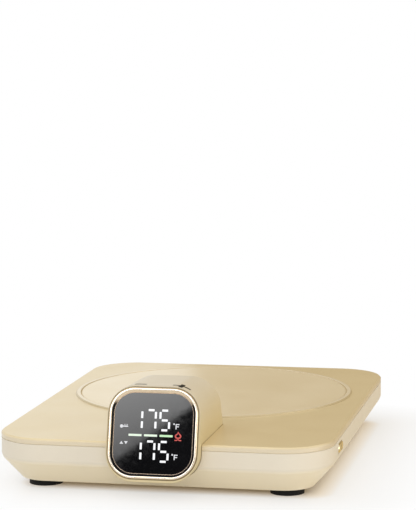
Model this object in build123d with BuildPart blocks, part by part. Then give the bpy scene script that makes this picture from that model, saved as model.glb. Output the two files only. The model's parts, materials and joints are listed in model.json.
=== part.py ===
from build123d import *
import os
from math import atan, cos, degrees, radians, sin, sqrt, tan

# Electric mug warmer: a low rounded base with a round warming plate, and a display pod that
# stands through the front edge of its cover. All lengths are in millimetres, angles in degrees.
# +Z is up, -Y is the side with the display, and z = 0 is the surface the feet stand on.

# ---------------------------------------------------------------- driving dimensions
# Warming plate and the round collar of the cover about it.
collar_radius = 53.7
collar_margin = 6.3
collar_width = 1.8
collar_height = 0.6
collar_soft = 0.4
plate_gap = 0.3
plate_sink = 0.1
plate_soft = 0.3
plate_top_thickness = 2.0
plate_flange_width = 2.9
plate_flange_thickness = 2.0
plate_wall = 2.1

# Base: case below, cover plate above.
base_corner = 18.0
foot_height = 2.35
skirt_rise = 7.9
skirt_inset = 7.2
wall_height = 6.5
cover_thickness = 2.1
case_wall = 2.2
floor_thickness = 2.0
skirt_soft = 0.8
rim_soft = 0.6
seam_soft = 0.3
fit_gap = 0.15
lip_thickness = 1.4
lip_height = 2.0
rib_thickness = 1.2
rib_height = 2.5
rib_length = 68.0
rib_spacing = 15.0
rib_count = 5

# Heater stack under the plate.
heater_thickness = 0.6
heater_gap = 4.0
clamp_thickness = 0.8
clamp_edge_gap = 0.1
clamp_ear_reach = 3.0
clamp_ear_width = 9.0
clamp_ear_angle = 36.0
clamp_hook_width = 5.0
clamp_hook_thickness = 1.6
clamp_hook_overlap = 0.8
clamp_hook_rise = 1.2
heater_sides = 8
sensor_width = 6.0
sensor_flange_width = 12.0
sensor_flange_thickness = 1.0
fuse_radius = 2.0
fuse_length = 11.0
fuse_offset = 20.0
fuse_gap = 0.1
strap_thickness = 0.5
strap_width = 5.0
strap_foot = 4.0
tab_width = 4.0
tab_thickness = 0.6
tab_spacing = 12.0
tab_inset = 6.0
tab_drop = 5.0
slot_gap = 0.4

# Posts under the cover and the feet below them.
post_width = 8.4
foot_radius = 6.0
foot_inset_x = 16.4
foot_inset_y = 15.5

# Display pod.
pod_width = 32.6
pod_height = 32.4
pod_drop = 0.35
pod_corner = 9.8
pod_wall = 2.0
pod_droop = 2.5
pod_back_slope = 23.7
pod_back_soft = 1.6
pod_length = 42.5
pod_to_collar = 7.3
face_tilt = 14.6
face_rise = 20.7
face_reach = 3.5
ear_length = 20.0
ear_width = 7.4
ear_thickness = 2.0
ear_drop = 2.0
ear_from_front = 24.0
ear_rib_length = 14.0
ear_rib_width = 4.0
chin_depth = 9.0

# Bezel, window and display.
bezel_width = 31.8
bezel_height = 31.7
bezel_corner = 9.2
bezel_band = 1.1
bezel_depth = 2.4
bezel_proud = 0.5
bezel_soft = 0.4
insert_band = 0.95
insert_sink = 0.1
insert_slope = 0.6
window_gap = 0.05
module_width = 23.6
module_height = 20.6
module_depth = 6.0
module_drop = 0.9
module_corner = 2.2
board_thickness = 1.6
board_gap = 0.35
board_corner_share = 0.7
display_pad_width = 5.0
display_pad_reach = 2.0
display_pad_depth = 3.4
touch_board_depth = 11.0
touch_board_thickness = 1.2
touch_board_rise = 25.4
touch_ledge_width = 1.6
touch_ledge_thickness = 1.2
touch_from_face = 15.8
touch_board_back = 3.2
touch_spacing = 14.6
touch_spring_width = 3.6
touch_spring_depth = 3.4
touch_spring_thickness = 0.3
touch_spring_gap = 0.3

# Power key on the right-hand wall, and the switch behind it.
key_length = 9.6
key_height = 3.2
key_proud = 0.4
key_soft = 0.3
key_gap = 0.2
key_travel = 0.8
key_flange = 1.0
key_flange_thickness = 0.9
key_from_front = 30.0
key_rise = 11.3
key_stem_width = 2.4
key_stem_length = 2.4
switch_size = 5.6
switch_depth = 3.2
plunger_width = 2.6
plunger_seat = 1.6
plunger_gap = 0.05
press_room = 0.1
key_board_width = 16.6
key_guide_width = 4.0
key_guide_thickness = 2.0
key_guide_overlap = 0.8
key_guide_height = 5.9
lip_room = 2.0

# Cord inlet in the back wall.
inlet_bore_radius = 1.9
inlet_bush_radius = 2.8
inlet_flange_width = 8.0
inlet_flange_height = 6.2
inlet_flange_thickness = 1.2
inlet_rise = 11.1

# Main board, on the floor to the left of the pod.
main_board_width = 30.0
main_board_depth = 31.0
main_board_lift = 2.5
main_board_gap = 1.6
relay_place = (-2.6, 6.2)
film_capacitor_place = (-0.6, -4.0)
terminal_block_place = (-10.2, -4.6)
controller_chip_place = (8.4, -4.6)
display_connector_from_edge = 3.6
display_connector_y = 4.4
heater_connector_place = (8.2, 12.4)
can_capacitor_place = (-10.6, -12.2)
choke_place = (-0.4, -11.4)
hook_width = 5.0
hook_thickness = 2.0
hook_overlap = 0.8
hook_rise = 1.6
relay_width = 14.0
relay_depth = 9.5
relay_height = 7.6
film_capacitor_width = 12.0
film_capacitor_depth = 6.0
film_capacitor_height = 7.2
terminal_block_width = 6.6
terminal_block_depth = 9.0
terminal_block_height = 7.0
controller_chip_width = 5.0
controller_chip_depth = 6.4
controller_chip_height = 1.5
display_connector_width = 4.2
display_connector_depth = 9.0
display_connector_height = 3.2
heater_connector_width = 7.0
heater_connector_depth = 5.0
heater_connector_height = 4.8
can_capacitor_radius = 3.0
can_capacitor_height = 7.4
choke_width = 7.0
choke_depth = 6.0
choke_height = 5.0
part_soft = 0.3

# ---------------------------------------------------------------- derived places
base_width = 2 * (collar_radius + collar_margin)
base_depth = pod_length - face_reach + pod_to_collar + 2 * collar_radius + collar_margin
case_bottom_z = foot_height
face_height = case_bottom_z + face_rise
touch_board_z = case_bottom_z + touch_board_rise
key_z = case_bottom_z + key_rise
inlet_z = case_bottom_z + inlet_rise
floor_top_z = case_bottom_z + floor_thickness
skirt_top_z = case_bottom_z + skirt_rise
seam_z = skirt_top_z + wall_height
cover_top_z = seam_z + cover_thickness
skirt_angle = degrees(atan(skirt_inset / skirt_rise))

front_overhang = face_reach + bezel_height / 2 * sin(radians(face_tilt))
base_y = front_overhang / 2
front_wall_y = base_y - base_depth / 2
back_wall_y = base_y + base_depth / 2
side_wall_x = base_width / 2
face_y = front_wall_y - face_reach
heel_y = face_y + pod_length

ring_y = back_wall_y - collar_margin - collar_radius
opening_radius = collar_radius - collar_width
plate_radius = opening_radius - plate_gap
plate_top_z = cover_top_z + collar_height - plate_sink
flange_bottom_z = seam_z - plate_flange_thickness
flange_radius = plate_radius + plate_flange_width
pan_radius = plate_radius - plate_wall
heater_top_z = plate_top_z - plate_top_thickness
heater_radius = pan_radius - heater_gap
pad_top_z = heater_top_z - heater_thickness
clamp_bottom_z = flange_bottom_z - clamp_thickness
clamp_radius = flange_radius - clamp_edge_gap
clamp_ear_end = flange_radius + clamp_ear_reach
sensor_slot = sensor_width + 2 * slot_gap
half_side_angle = 180 / heater_sides

foot_x = base_width / 2 - foot_inset_x
foot_y = base_depth / 2 - foot_inset_y

ear_top_z = seam_z - ear_drop
ear_bottom_z = ear_top_z - ear_thickness
ear_y = front_wall_y + ear_from_front
ear_rib_x = (pod_width + ear_width) / 2
window_width = bezel_width - 2 * bezel_band
window_height = bezel_height - 2 * bezel_band
window_corner = bezel_corner - bezel_band
window_recess = insert_sink + insert_slope
module_front = bezel_depth + window_gap
board_front = module_front + module_depth
board_back = board_front + board_thickness

key_y = front_wall_y + key_from_front
inner_wall_x = side_wall_x - case_wall
flange_inner_x = inner_wall_x - key_flange_thickness
stem_end_x = flange_inner_x - key_stem_length
plunger_proud = key_travel + press_room
switch_front_x = stem_end_x - plunger_proud
switch_back_x = switch_front_x - switch_depth
key_board_x = switch_back_x - board_thickness
switch_bore_depth = plunger_seat + key_travel + press_room

main_board_z = floor_top_z + main_board_lift
main_board_top_z = main_board_z + board_thickness
skirt_wall_x = inner_wall_x - (skirt_top_z - main_board_z) * skirt_inset / skirt_rise
main_board_x = main_board_gap + main_board_width / 2 - skirt_wall_x
main_board_y = base_y - foot_y + post_width / 2 + main_board_gap + main_board_depth / 2

base = Plane(origin=(0, base_y, 0))
ring = Plane(origin=(0, ring_y, 0))
board = Plane(origin=(main_board_x, main_board_y, 0))
face = Plane(
    origin=(0, face_y, face_height),
    x_dir=(1, 0, 0),
    z_dir=(0, -cos(radians(face_tilt)), sin(radians(face_tilt))),
)
pod_axis = Plane(
    origin=(0, face_y, face_height - pod_drop),
    x_dir=(1, 0, 0),
    z_dir=(0, -cos(radians(pod_droop)), sin(radians(pod_droop))),
)
pod_back = Plane(
    origin=(0, heel_y, cover_top_z),
    x_dir=(1, 0, 0),
    z_dir=(0, cos(radians(pod_back_slope)), sin(radians(pod_back_slope))),
)
pod_heel = Plane(origin=(0, heel_y, 0), x_dir=(1, 0, 0), z_dir=(0, 1, 0))
key_side = Plane(origin=(0, key_y, key_z), x_dir=(0, 1, 0), z_dir=(1, 0, 0))
inlet = Plane(origin=(0, back_wall_y, inlet_z), x_dir=(-1, 0, 0), z_dir=(0, 1, 0))

post_places = [(x, y) for x in (-foot_x, foot_x) for y in (-foot_y, foot_y)]
tab_y = tab_inset - heater_radius * cos(radians(half_side_angle))
tab_places = [(-tab_spacing / 2, tab_y), (tab_spacing / 2, tab_y)]

os.makedirs("parts", exist_ok=True)


# ---------------------------------------------------------------- shared shapes
def save(piece, label):
    """Name a finished piece and write it to its own file."""
    piece.part.label = label
    export_step(piece.part, f"parts/{label}.step")


def tub_form(inset, low_z):
    """The base's outer form pulled in by an inset: sloping skirt, then upright wall to the seam."""
    with BuildSketch(base.offset(skirt_top_z)) as outline:
        RectangleRounded(base_width - 2 * inset, base_depth - 2 * inset, base_corner - inset)
    extrude(outline.sketch, amount=wall_height)
    underside = Plane(origin=(0, base_y, skirt_top_z), z_dir=(0, 0, -1))
    with BuildSketch(underside) as outline:
        RectangleRounded(base_width - 2 * inset, base_depth - 2 * inset, base_corner - inset)
    extrude(outline.sketch, amount=skirt_top_z - low_z, taper=skirt_angle)


def pod_form(margin, front_offset):
    """The pod's squarish tube grown by a margin, cut off by the face, the heel and the back."""
    with BuildSketch(pod_axis.offset(pod_height)) as outline:
        RectangleRounded(
            pod_width + 2 * margin, pod_height + 2 * margin, pod_corner + margin
        )
    extrude(outline.sketch, amount=-pod_height - 2 * pod_length)
    split(bisect_by=face.offset(front_offset), keep=Keep.BOTTOM)
    form = split(bisect_by=pod_back.offset(margin), keep=Keep.BOTTOM)
    if pod_back_soft + margin > 0:
        back_face = form.faces().sort_by(Axis(pod_back.origin, pod_back.z_dir))[-1]
        chamfer(back_face.edges(), pod_back_soft + margin)
    split(bisect_by=pod_heel.offset(margin), keep=Keep.BOTTOM)


def discs(plane, places, radius, height, mode=Mode.ADD):
    """A round column of one height at each place on a plane."""
    with BuildSketch(plane) as outline:
        with Locations(*places):
            Circle(radius)
    extrude(outline.sketch, amount=height, mode=mode)


def blocks(plane, places, width, depth, height, mode=Mode.ADD):
    """A square-cornered column of one height at each place on a plane."""
    with BuildSketch(plane) as outline:
        with Locations(*places):
            Rectangle(width, depth)
    extrude(outline.sketch, amount=height, mode=mode)


# ---------------------------------------------------------------- pod
# Measured in the plane of the face, the space inside the walls moves up with the depth behind it.
lean = radians(face_tilt - pod_droop)
pod_inner_x = pod_width / 2 - pod_wall
pod_inner_y = (pod_height / 2 - pod_wall) / cos(lean)
pod_inner_drop = pod_drop * cos(radians(pod_droop)) / cos(lean)
display_board_top = pod_inner_y - pod_inner_drop + bezel_depth * tan(lean) - board_gap
display_board_bottom = board_back * tan(lean) - pod_inner_y - pod_inner_drop + board_gap
touch_y = face_y + touch_from_face
touch_board_y = touch_y + touch_board_back
touch_board_top_z = touch_board_z + touch_board_thickness
board_cut_corner = board_corner_share * (pod_corner - pod_wall)

with BuildPart() as pod_core:
    pod_form(-pod_wall, -bezel_depth)
    # Pads behind the display board, one at its top and two at its foot.
    with BuildSketch(face.offset(-board_back)):
        with Locations((0, display_board_top - display_pad_reach)):
            Rectangle(display_pad_width, pod_height, align=(Align.CENTER, Align.MIN))
        with Locations((0, display_board_bottom + display_pad_reach)):
            with GridLocations(2 * display_pad_width, 0, 2, 1):
                Rectangle(display_pad_width, pod_height, align=(Align.CENTER, Align.MAX))
    extrude(amount=-display_pad_depth, mode=Mode.SUBTRACT)
    # Ledges under the sides of the touch board.
    with BuildSketch(Plane.XY.offset(touch_board_z)):
        with Locations((-pod_inner_x, touch_board_y), (pod_inner_x, touch_board_y)):
            Rectangle(2 * touch_ledge_width, touch_board_depth)
    extrude(amount=-touch_ledge_thickness, mode=Mode.SUBTRACT)

with BuildPart() as pod_housing:
    pod_form(0, -bezel_proud)
    with BuildSketch(Plane.XY.offset(ear_bottom_z)):
        with Locations((0, ear_y)):
            Rectangle(pod_width + 2 * ear_width, ear_length)
    extrude(amount=ear_thickness)
    add(pod_core.part, mode=Mode.SUBTRACT)
    # Pocket for the bezel.
    with BuildSketch(face):
        RectangleRounded(
            bezel_width + 2 * window_gap, bezel_height + 2 * window_gap, bezel_corner + window_gap
        )
    extrude(amount=-bezel_depth, mode=Mode.SUBTRACT)
    # Behind the chin the pod is open below the level of its ears.
    with BuildSketch(Plane.XY.offset(ear_bottom_z)):
        with Locations((0, front_wall_y + chin_depth)):
            Rectangle(2 * pod_width, 2 * pod_length, align=(Align.CENTER, Align.MIN))
    extrude(amount=-pod_height, mode=Mode.SUBTRACT)
save(pod_housing, "pod_housing")

# The pod grown by the fitting gap, to cut its way through the cover and the case.
with BuildPart() as pod_clearance:
    pod_form(fit_gap, bezel_depth)

with BuildPart() as bezel_ring:
    with BuildSketch(face):
        RectangleRounded(bezel_width, bezel_height, bezel_corner)
        RectangleRounded(window_width, window_height, window_corner, mode=Mode.SUBTRACT)
    extrude(amount=-bezel_depth)
    front = bezel_ring.faces().sort_by(Axis(face.origin, face.z_dir))[-1]
    chamfer(front.outer_wire().edges(), bezel_soft)
save(bezel_ring, "bezel_ring")

# Sloping ring in front of the window's edge.
with BuildPart() as bezel_insert:
    with BuildSketch(face.offset(-insert_sink)):
        RectangleRounded(
            window_width - 2 * window_gap,
            window_height - 2 * window_gap,
            window_corner - window_gap,
        )
        RectangleRounded(
            window_width - 2 * insert_band,
            window_height - 2 * insert_band,
            window_corner - insert_band,
            mode=Mode.SUBTRACT,
        )
    extrude(amount=-insert_slope)
    front = bezel_insert.faces().sort_by(Axis(face.origin, face.z_dir))[-1]
    chamfer(front.inner_wires()[0].edges(), insert_slope - window_gap)
save(bezel_insert, "bezel_insert")

with BuildPart() as display_window:
    with BuildSketch(face.offset(-window_recess)):
        RectangleRounded(
            window_width - 2 * window_gap,
            window_height - 2 * window_gap,
            window_corner - window_gap,
        )
    extrude(amount=window_recess - bezel_depth)
save(display_window, "display_window")

with BuildPart() as display_module:
    with BuildSketch(face.offset(-module_front)) as module_outline:
        with Locations((0, -module_drop)):
            Rectangle(module_width, module_height)
        chamfer(module_outline.vertices(), module_corner)
    extrude(amount=-module_depth)
save(display_module, "display_module")

with BuildPart() as display_board:
    with BuildSketch(face.offset(-board_front)) as board_outline:
        with Locations((0, (display_board_top + display_board_bottom) / 2)):
            Rectangle(
                2 * (pod_inner_x - board_gap), display_board_top - display_board_bottom
            )
        chamfer(board_outline.vertices(), board_cut_corner)
    extrude(amount=-board_thickness)
save(display_board, "display_board")

with BuildPart() as touch_board:
    with BuildSketch(Plane.XY.offset(touch_board_z)):
        with Locations((0, touch_board_y)):
            Rectangle(2 * (pod_inner_x - board_gap), touch_board_depth)
    extrude(amount=touch_board_thickness)
save(touch_board, "touch_board")

# Leaf springs from the touch board up to just below the pod's ceiling, which falls away
# at its rounded corners.
inner_corner = pod_corner - pod_wall
spring_edge = touch_spacing / 2 + touch_spring_width / 2
past_flat = max(spring_edge - pod_inner_x + inner_corner, 0)
corner_fall = inner_corner - sqrt(inner_corner**2 - past_flat**2)
droop_fall = (touch_from_face + touch_spring_depth) * tan(radians(pod_droop))
ceiling_z = face_height - pod_drop + pod_height / 2 - pod_wall - corner_fall - droop_fall
spring_height = ceiling_z - touch_spring_gap - touch_board_top_z
for label, x in (("minus", -touch_spacing / 2), ("plus", touch_spacing / 2)):
    spring_side = Plane(
        origin=(x - touch_spring_width / 2, touch_y, touch_board_top_z),
        x_dir=(0, 1, 0),
        z_dir=(1, 0, 0),
    )
    with BuildPart() as touch_spring:
        with BuildSketch(spring_side):
            with BuildLine():
                Polyline(
                    (touch_spring_depth / 2, 0),
                    (-touch_spring_depth / 2, 0),
                    (-touch_spring_depth / 2, touch_spring_thickness),
                    (touch_spring_depth / 2 - touch_spring_thickness, touch_spring_thickness),
                    (-touch_spring_depth / 2, spring_height - touch_spring_thickness),
                    (-touch_spring_depth / 2, spring_height),
                    (touch_spring_depth / 2, spring_height),
                    (touch_spring_depth / 2, spring_height - touch_spring_thickness),
                    (0, spring_height - touch_spring_thickness),
                    (touch_spring_depth / 2, touch_spring_thickness),
                    close=True,
                )
            make_face()
        extrude(amount=touch_spring_width)
    save(touch_spring, f"{label}_touch_spring")

# ---------------------------------------------------------------- base
with BuildPart() as case_core:
    tub_form(case_wall, floor_top_z)

lip_width = base_width - 2 * case_wall - 2 * fit_gap
lip_depth = base_depth - 2 * case_wall - 2 * fit_gap
lip_corner = base_corner - case_wall - fit_gap
hook_places = [
    (x, y)
    for x in (-main_board_width / 2, main_board_width / 2)
    for y in (-main_board_depth / 3, main_board_depth / 3)
]
ear_rib_places = [(-ear_rib_x, ear_y), (ear_rib_x, ear_y)]

with BuildPart() as lower_case:
    tub_form(0, case_bottom_z)
    skirt_edges = lower_case.edges().filter_by_position(Axis.Z, skirt_top_z, skirt_top_z)
    chamfer(skirt_edges, skirt_soft)
    add(case_core.part, mode=Mode.SUBTRACT)
    # Posts that carry the cover, and ribs that hold up the pod's ears.
    blocks(base.offset(floor_top_z), post_places, post_width, post_width, seam_z - floor_top_z)
    blocks(
        Plane.XY.offset(floor_top_z), ear_rib_places, ear_rib_width, ear_rib_length,
        ear_bottom_z - floor_top_z,
    )
    # Hooks that carry the main board by its long edges.
    blocks(
        board.offset(floor_top_z), hook_places, 2 * hook_thickness, hook_width,
        main_board_top_z + hook_rise - floor_top_z,
    )
    blocks(
        board.offset(main_board_z), [(0, 0)], main_board_width + 2 * fit_gap,
        main_board_depth + 2 * fit_gap, board_thickness + fit_gap, Mode.SUBTRACT,
    )
    blocks(
        board.offset(floor_top_z), [(0, 0)], main_board_width - 2 * hook_overlap,
        main_board_depth, main_board_top_z + hook_rise - floor_top_z, Mode.SUBTRACT,
    )
    # Stiffening ribs across the floor under the heater.
    with BuildSketch(ring.offset(floor_top_z)):
        with GridLocations(0, rib_spacing, 1, rib_count):
            Rectangle(rib_length, rib_thickness)
    extrude(amount=rib_height)
    # Guides that hold the key's board by its edges.
    with BuildSketch(Plane.XY.offset(floor_top_z)):
        with Locations((key_board_x + board_thickness / 2, key_y)):
            with GridLocations(0, key_board_width + key_guide_thickness, 1, 2):
                Rectangle(key_guide_width, key_guide_thickness + key_guide_overlap)
            Rectangle(
                board_thickness + 2 * fit_gap, key_board_width + 2 * fit_gap, mode=Mode.SUBTRACT
            )
    extrude(amount=key_guide_height)
    # Openings: pod, power key and cord inlet.
    add(pod_clearance.part, mode=Mode.SUBTRACT)
    with BuildSketch(key_side.offset(side_wall_x)):
        SlotOverall(key_length + 2 * key_gap, key_height + 2 * key_gap)
    extrude(amount=-2 * case_wall, mode=Mode.SUBTRACT)
    discs(inlet, [(0, 0)], inlet_bush_radius, -2 * case_wall, Mode.SUBTRACT)
save(lower_case, "lower_case")

with BuildPart() as top_cover:
    with BuildSketch(base.offset(seam_z)):
        RectangleRounded(base_width, base_depth, base_corner)
    extrude(amount=cover_thickness)
    rim_edges = top_cover.edges().filter_by_position(Axis.Z, cover_top_z, cover_top_z)
    chamfer(rim_edges, rim_soft)
    seam_edges = top_cover.edges().filter_by_position(Axis.Z, seam_z, seam_z)
    chamfer(seam_edges, seam_soft)
    with BuildSketch(ring.offset(cover_top_z)):
        Circle(collar_radius)
    extrude(amount=collar_height)
    collar_top_z = cover_top_z + collar_height
    collar_edges = top_cover.edges().filter_by_position(Axis.Z, collar_top_z, collar_top_z)
    chamfer(collar_edges, collar_soft)
    # Locating lip inside the case wall, left out at the key and the cord inlet.
    with BuildSketch(base.offset(seam_z)):
        RectangleRounded(lip_width, lip_depth, lip_corner)
        RectangleRounded(
            lip_width - 2 * lip_thickness,
            lip_depth - 2 * lip_thickness,
            lip_corner - lip_thickness,
            mode=Mode.SUBTRACT,
        )
        with Locations((side_wall_x, key_y - base_y)):
            Rectangle(base_corner, key_board_width + 2 * lip_room, mode=Mode.SUBTRACT)
        with Locations((0, base_depth / 2)):
            Rectangle(
                2 * (inlet_bush_radius + lip_room), base_corner, mode=Mode.SUBTRACT
            )
    extrude(amount=-lip_height)
    # Pads that press on the pod's ears.
    blocks(
        Plane.XY.offset(ear_top_z), ear_rib_places, ear_rib_width, ear_rib_length, ear_drop
    )
    # Hooks that hold the heater clamp by its ears.
    hook_inner = clamp_ear_end - clamp_hook_overlap
    hook_outer = clamp_ear_end + fit_gap + clamp_hook_thickness
    with BuildSketch(ring.offset(clamp_bottom_z - clamp_hook_rise)):
        with PolarLocations((hook_inner + hook_outer) / 2, 2, clamp_ear_angle):
            Rectangle(hook_outer - hook_inner, clamp_hook_width)
    extrude(amount=seam_z - clamp_bottom_z + clamp_hook_rise)
    with BuildSketch(ring.offset(clamp_bottom_z)):
        with PolarLocations(hook_inner, 2, clamp_ear_angle):
            Rectangle(2 * (clamp_hook_overlap + fit_gap), 2 * clamp_hook_width)
    extrude(amount=clamp_thickness, mode=Mode.SUBTRACT)
    with BuildSketch(ring.offset(flange_bottom_z)):
        Circle(flange_radius + fit_gap)
    extrude(amount=seam_z - flange_bottom_z, mode=Mode.SUBTRACT)
    with BuildSketch(ring.offset(seam_z)):
        Circle(opening_radius)
    extrude(amount=cover_thickness + collar_height, mode=Mode.SUBTRACT)
    add(pod_clearance.part, mode=Mode.SUBTRACT)
save(top_cover, "top_cover")

for side, x in (("left", -foot_x), ("right", foot_x)):
    for end, y in (("front", -foot_y), ("back", foot_y)):
        with BuildPart() as foot:
            discs(base, [(x, y)], foot_radius, foot_height)
        save(foot, f"{end}_{side}_foot")

with BuildPart() as cord_bush:
    discs(inlet, [(0, 0)], inlet_bush_radius - fit_gap, -case_wall)
    blocks(
        inlet.offset(-case_wall), [(0, 0)], inlet_flange_width, inlet_flange_height,
        -inlet_flange_thickness,
    )
    discs(
        inlet, [(0, 0)], inlet_bore_radius, -case_wall - inlet_flange_thickness, Mode.SUBTRACT
    )
save(cord_bush, "cord_bush")

# ---------------------------------------------------------------- warming plate and heater
with BuildPart() as warming_plate:
    discs(ring.offset(flange_bottom_z), [(0, 0)], flange_radius, plate_flange_thickness)
    discs(ring.offset(seam_z), [(0, 0)], plate_radius, plate_top_z - seam_z)
    plate_edge = warming_plate.edges().filter_by_position(Axis.Z, plate_top_z, plate_top_z)
    chamfer(plate_edge, plate_soft)
    discs(
        ring.offset(flange_bottom_z), [(0, 0)], pan_radius, heater_top_z - flange_bottom_z,
        Mode.SUBTRACT,
    )
save(warming_plate, "warming_plate")

with BuildPart() as heater_element:
    with BuildSketch(ring.offset(pad_top_z)):
        RegularPolygon(heater_radius, heater_sides, rotation=half_side_angle)
        Rectangle(sensor_slot, sensor_slot, mode=Mode.SUBTRACT)
    extrude(amount=heater_thickness)
    blocks(ring.offset(pad_top_z), tab_places, tab_width, tab_thickness, -tab_drop)
save(heater_element, "heater_element")

with BuildPart() as insulation_pad:
    with BuildSketch(ring.offset(flange_bottom_z)):
        RegularPolygon(heater_radius, heater_sides, rotation=half_side_angle)
        Rectangle(sensor_slot, sensor_slot, mode=Mode.SUBTRACT)
        with Locations(*tab_places):
            Rectangle(tab_width + 2 * slot_gap, tab_thickness + 2 * slot_gap, mode=Mode.SUBTRACT)
    extrude(amount=pad_top_z - flange_bottom_z)
save(insulation_pad, "insulation_pad")

with BuildPart() as heater_clamp:
    with BuildSketch(ring.offset(clamp_bottom_z)):
        RegularPolygon(clamp_radius, heater_sides, rotation=half_side_angle)
        Rectangle(2 * clamp_ear_end, clamp_ear_width, rotation=clamp_ear_angle)
        Rectangle(sensor_slot, sensor_slot, mode=Mode.SUBTRACT)
        with Locations(*tab_places):
            Rectangle(tab_width + 2 * slot_gap, tab_thickness + 2 * slot_gap, mode=Mode.SUBTRACT)
    extrude(amount=clamp_thickness)
save(heater_clamp, "heater_clamp")

with BuildPart() as temperature_sensor:
    blocks(
        ring.offset(clamp_bottom_z), [(0, 0)], sensor_width, sensor_width,
        heater_top_z - clamp_bottom_z,
    )
    blocks(
        ring.offset(clamp_bottom_z), [(0, 0)], sensor_flange_width, sensor_width,
        -sensor_flange_thickness,
    )
save(temperature_sensor, "temperature_sensor")

fuse_axis_z = clamp_bottom_z - fuse_radius - fuse_gap
fuse_side = Plane(
    origin=(0, ring_y - fuse_offset, fuse_axis_z), x_dir=(0, 1, 0), z_dir=(1, 0, 0)
)
strap_inner = fuse_radius + fuse_gap
with BuildPart() as thermal_fuse:
    with BuildSketch(fuse_side):
        Circle(fuse_radius)
    extrude(amount=fuse_length / 2, both=True)
save(thermal_fuse, "thermal_fuse")

with BuildPart() as fuse_strap:
    with BuildSketch(fuse_side):
        with Locations((0, strap_inner)):
            Rectangle(
                2 * (strap_inner + strap_foot),
                strap_thickness,
                align=(Align.CENTER, Align.MAX),
            )
            Rectangle(
                2 * (strap_inner + strap_thickness),
                2 * strap_inner + strap_thickness,
                align=(Align.CENTER, Align.MAX),
            )
            Rectangle(
                2 * strap_inner,
                2 * strap_inner,
                align=(Align.CENTER, Align.MAX),
                mode=Mode.SUBTRACT,
            )
    extrude(amount=strap_width / 2, both=True)
save(fuse_strap, "fuse_strap")

# ---------------------------------------------------------------- power key and switch
with BuildPart() as power_key:
    with BuildSketch(key_side.offset(flange_inner_x)):
        SlotOverall(key_length, key_height)
    extrude(amount=side_wall_x + key_proud - flange_inner_x)
    chamfer(power_key.faces().sort_by(Axis.X)[-1].edges(), key_soft)
    with BuildSketch(key_side.offset(flange_inner_x)):
        SlotOverall(key_length + 2 * key_flange, key_height + 2 * key_flange)
    extrude(amount=key_flange_thickness)
    blocks(
        key_side.offset(flange_inner_x), [(0, 0)], key_stem_width, key_stem_width,
        -key_stem_length,
    )
save(power_key, "power_key")

with BuildPart() as switch_plunger:
    blocks(
        key_side.offset(stem_end_x), [(0, 0)], plunger_width, plunger_width,
        -plunger_proud - plunger_seat,
    )
save(switch_plunger, "switch_plunger")

with BuildPart() as power_switch:
    blocks(key_side.offset(switch_back_x), [(0, 0)], switch_size, switch_size, switch_depth)
    blocks(
        key_side.offset(switch_front_x), [(0, 0)], plunger_width + 2 * plunger_gap,
        plunger_width + 2 * plunger_gap, -switch_bore_depth, Mode.SUBTRACT,
    )
save(power_switch, "power_switch")

with BuildPart() as key_board:
    with BuildSketch(Plane.XY.offset(floor_top_z)):
        with Locations((key_board_x, key_y)):
            Rectangle(board_thickness, key_board_width, align=(Align.MIN, Align.CENTER))
    extrude(amount=key_z + switch_size / 2 - floor_top_z)
save(key_board, "key_board")

# ---------------------------------------------------------------- main board
with BuildPart() as main_board:
    blocks(
        board.offset(main_board_z), [(0, 0)], main_board_width, main_board_depth,
        board_thickness,
    )
save(main_board, "main_board")

# Boxed parts on the board: label, place of the centre, width, depth and height.
boxed_parts = (
    ("power_relay", relay_place, relay_width, relay_depth, relay_height),
    (
        "film_capacitor",
        film_capacitor_place,
        film_capacitor_width,
        film_capacitor_depth,
        film_capacitor_height,
    ),
    (
        "terminal_block",
        terminal_block_place,
        terminal_block_width,
        terminal_block_depth,
        terminal_block_height,
    ),
    (
        "controller_chip",
        controller_chip_place,
        controller_chip_width,
        controller_chip_depth,
        controller_chip_height,
    ),
    (
        "display_connector",
        (main_board_width / 2 - display_connector_from_edge, display_connector_y),
        display_connector_width,
        display_connector_depth,
        display_connector_height,
    ),
    (
        "heater_connector",
        heater_connector_place,
        heater_connector_width,
        heater_connector_depth,
        heater_connector_height,
    ),
    ("choke", choke_place, choke_width, choke_depth, choke_height),
)
for label, place, width, depth, height in boxed_parts:
    with BuildPart() as boxed_part:
        blocks(board.offset(main_board_top_z), [place], width, depth, height)
        chamfer(boxed_part.faces().sort_by(Axis.Z)[-1].edges(), part_soft)
    save(boxed_part, label)

with BuildPart() as can_capacitor:
    discs(
        board.offset(main_board_top_z), [can_capacitor_place], can_capacitor_radius,
        can_capacitor_height,
    )
save(can_capacitor, "can_capacitor")
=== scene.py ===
import json
import math

import bmesh
import bpy
from mathutils import Matrix, Vector
from mathutils.bvhtree import BVHTree


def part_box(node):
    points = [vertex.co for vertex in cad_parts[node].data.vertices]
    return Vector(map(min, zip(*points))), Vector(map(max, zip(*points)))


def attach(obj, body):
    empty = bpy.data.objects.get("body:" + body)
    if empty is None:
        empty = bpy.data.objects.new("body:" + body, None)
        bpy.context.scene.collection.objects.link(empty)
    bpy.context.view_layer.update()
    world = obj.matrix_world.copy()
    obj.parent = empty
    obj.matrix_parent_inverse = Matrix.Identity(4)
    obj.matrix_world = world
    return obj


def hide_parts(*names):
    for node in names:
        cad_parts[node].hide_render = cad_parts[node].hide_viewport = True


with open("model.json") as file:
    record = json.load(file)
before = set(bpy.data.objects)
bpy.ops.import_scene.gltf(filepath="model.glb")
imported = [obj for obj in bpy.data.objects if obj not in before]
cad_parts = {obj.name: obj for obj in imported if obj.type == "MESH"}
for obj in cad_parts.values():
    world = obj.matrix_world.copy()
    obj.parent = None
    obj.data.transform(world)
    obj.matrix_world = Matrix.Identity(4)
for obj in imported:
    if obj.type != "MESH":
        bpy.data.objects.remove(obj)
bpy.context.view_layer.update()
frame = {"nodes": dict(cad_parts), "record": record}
nodes = frame["nodes"]

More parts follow.
